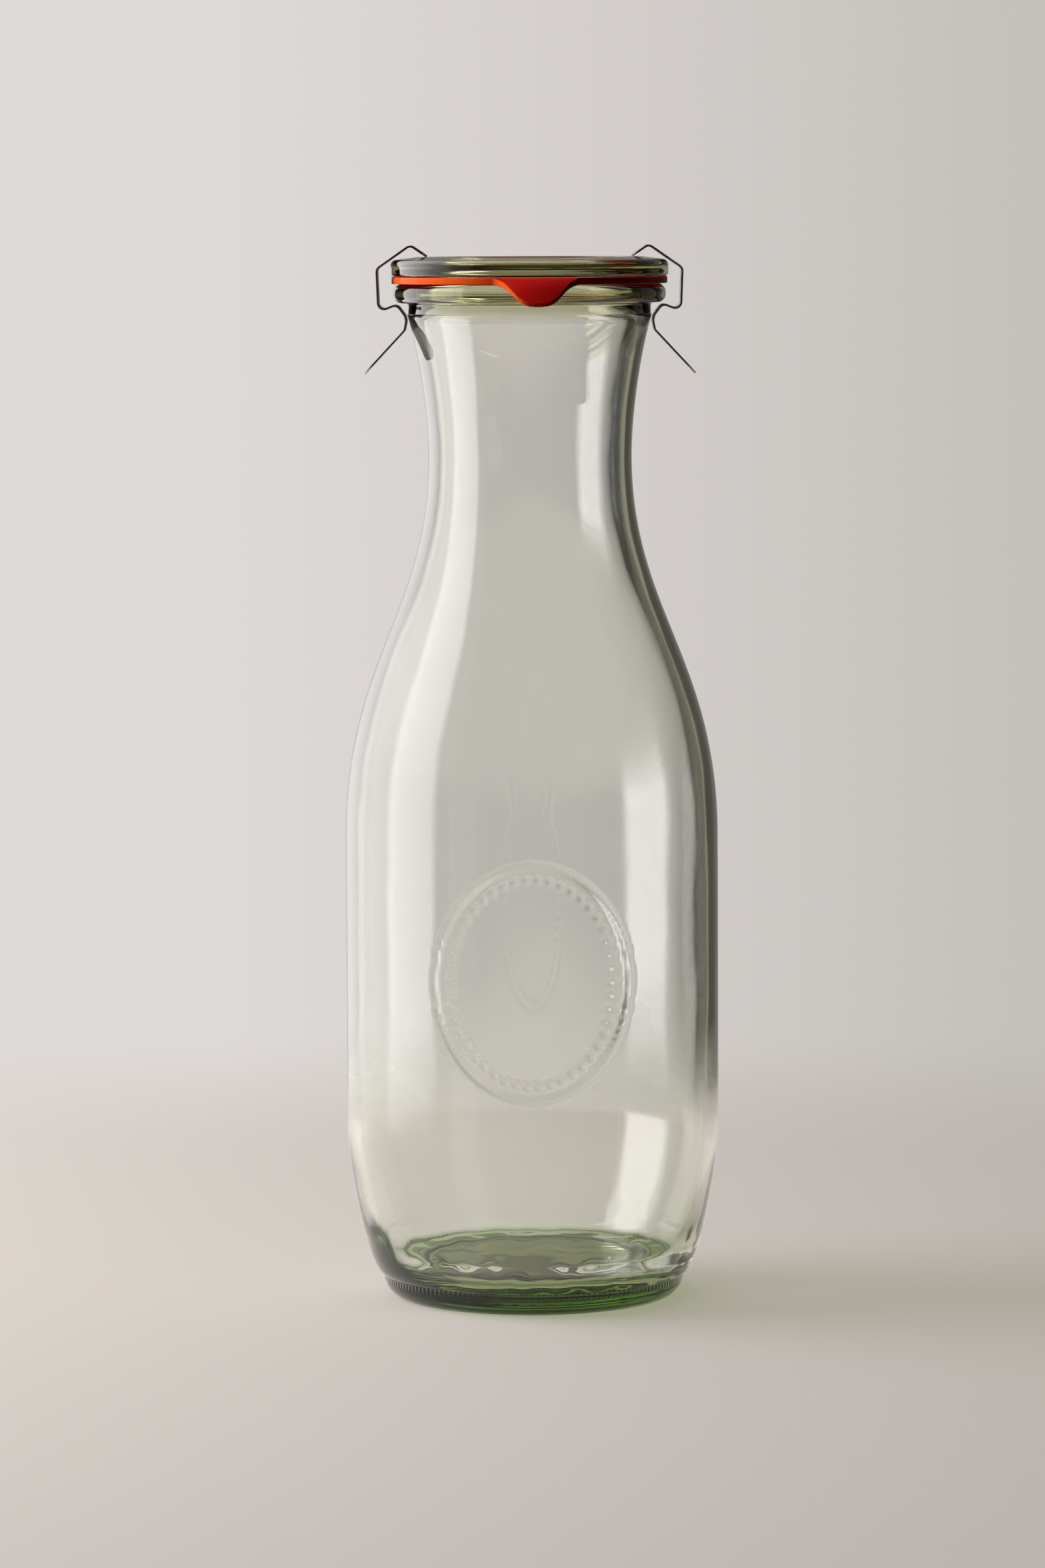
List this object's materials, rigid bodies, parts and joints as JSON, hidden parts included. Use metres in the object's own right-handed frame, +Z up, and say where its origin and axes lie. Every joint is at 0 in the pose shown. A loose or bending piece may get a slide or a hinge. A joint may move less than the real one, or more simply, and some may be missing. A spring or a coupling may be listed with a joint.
{
  "type": "clamp-lid glass bottle",
  "caption": "Wide-mouth glass bottle with a flared neck, glass lid, rubber sealing ring with a pull tab, and spring-steel clamps.",
  "frame": {"origin": "centre of the flat ring under the base, on the surface that the bottle stands on", "axes": "+Z up along the bottle's axis; -Y is the front, where the oval medallion and the ring's tab are; the clamps are at +X and -X"},
  "size_m": [0.091, 0.0916, 0.2571],
  "materials": {
    "bottle_glass": "clear moulded glass, faintly green, glossy",
    "lid_glass": "clear moulded glass, faintly green, glossy",
    "ring_rubber": "matt natural rubber, orange-red",
    "spring_steel": "bright rolled stainless strip"
  },
  "bodies": {
    "glass": {"bottle": "bottle_glass"},
    "closure": {"lid": "lid_glass", "sealing_ring": "ring_rubber"},
    "left_clamp": {"clamp_left": "spring_steel"},
    "right_clamp": {"clamp_right": "spring_steel"}
  },
  "joints": [
    {"name": "lid_lift", "type": "slide", "parent": "glass", "child": "closure", "axis": [0, 0, 1], "range_m": [0, 0.011]},
    {"name": "left_clamp_swing", "type": "hinge", "parent": "closure", "child": "left_clamp", "pos_m": [-0.0249, 0, 0.25445], "axis": [0, 1, 0], "range_deg": [0, 130]},
    {"name": "right_clamp_swing", "type": "hinge", "parent": "closure", "child": "right_clamp", "pos_m": [0.0249, 0, 0.25445], "axis": [0, -1, 0], "range_deg": [0, 130]}
  ],
  "couplings": [
    {"joint": "left_clamp_swing", "follows": "lid_lift", "rad_per_m": 206},
    {"joint": "right_clamp_swing", "follows": "lid_lift", "rad_per_m": 206}
  ]
}
